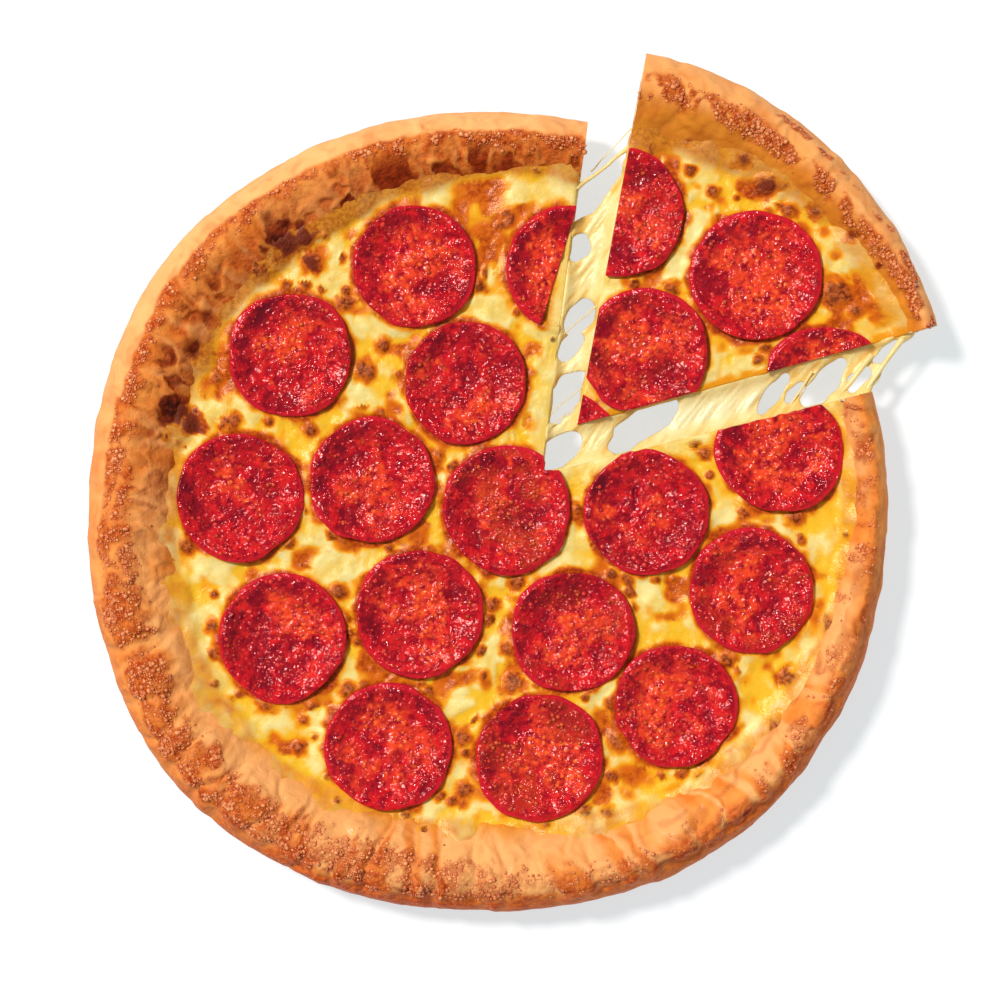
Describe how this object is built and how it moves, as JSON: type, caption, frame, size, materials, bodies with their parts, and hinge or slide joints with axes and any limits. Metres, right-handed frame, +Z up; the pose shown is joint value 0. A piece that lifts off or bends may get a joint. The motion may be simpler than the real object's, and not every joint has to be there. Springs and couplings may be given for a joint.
{
  "type": "pan pizza",
  "caption": "Round pan pizza with a thick folded crust, melted cheese and curled pepperoni discs; one slice is pulled out on cheese strings.",
  "frame": {"origin": "on the flat underside, at the middle of the large piece's outline", "axes": "+Z up out of the topping; +X and +Y level, with the pulled slice towards +X and +Y"},
  "size_m": [0.2724, 0.2753, 0.0297],
  "materials": {
    "crust": "baked bread crust, golden brown with darker blistered crests, slightly oily",
    "cheese": "melted cheese, cream to yellow with orange oil and browned spots, glossy",
    "pepperoni": "cured sausage, deep red with orange fat flecks, oily and glossy"
  },
  "bodies": {
    "root": {"crust": "crust", "crust_slice": "crust", "cheese": "cheese", "pepperoni_01": "pepperoni", "pepperoni_02": "pepperoni", "pepperoni_03": "pepperoni", "pepperoni_04": "pepperoni", "pepperoni_05": "pepperoni", "pepperoni_06": "pepperoni", "pepperoni_07": "pepperoni", "pepperoni_08": "pepperoni", "pepperoni_09": "pepperoni", "pepperoni_10": "pepperoni", "pepperoni_11": "pepperoni", "pepperoni_12": "pepperoni", "pepperoni_13": "pepperoni", "pepperoni_14": "pepperoni", "pepperoni_15": "pepperoni", "pepperoni_16": "pepperoni", "slice_pepperoni_01": "pepperoni", "slice_pepperoni_02": "pepperoni", "slice_pepperoni_03": "pepperoni", "slice_pepperoni_04": "pepperoni", "slice_pepperoni_05": "pepperoni"}
  },
  "joints": []
}
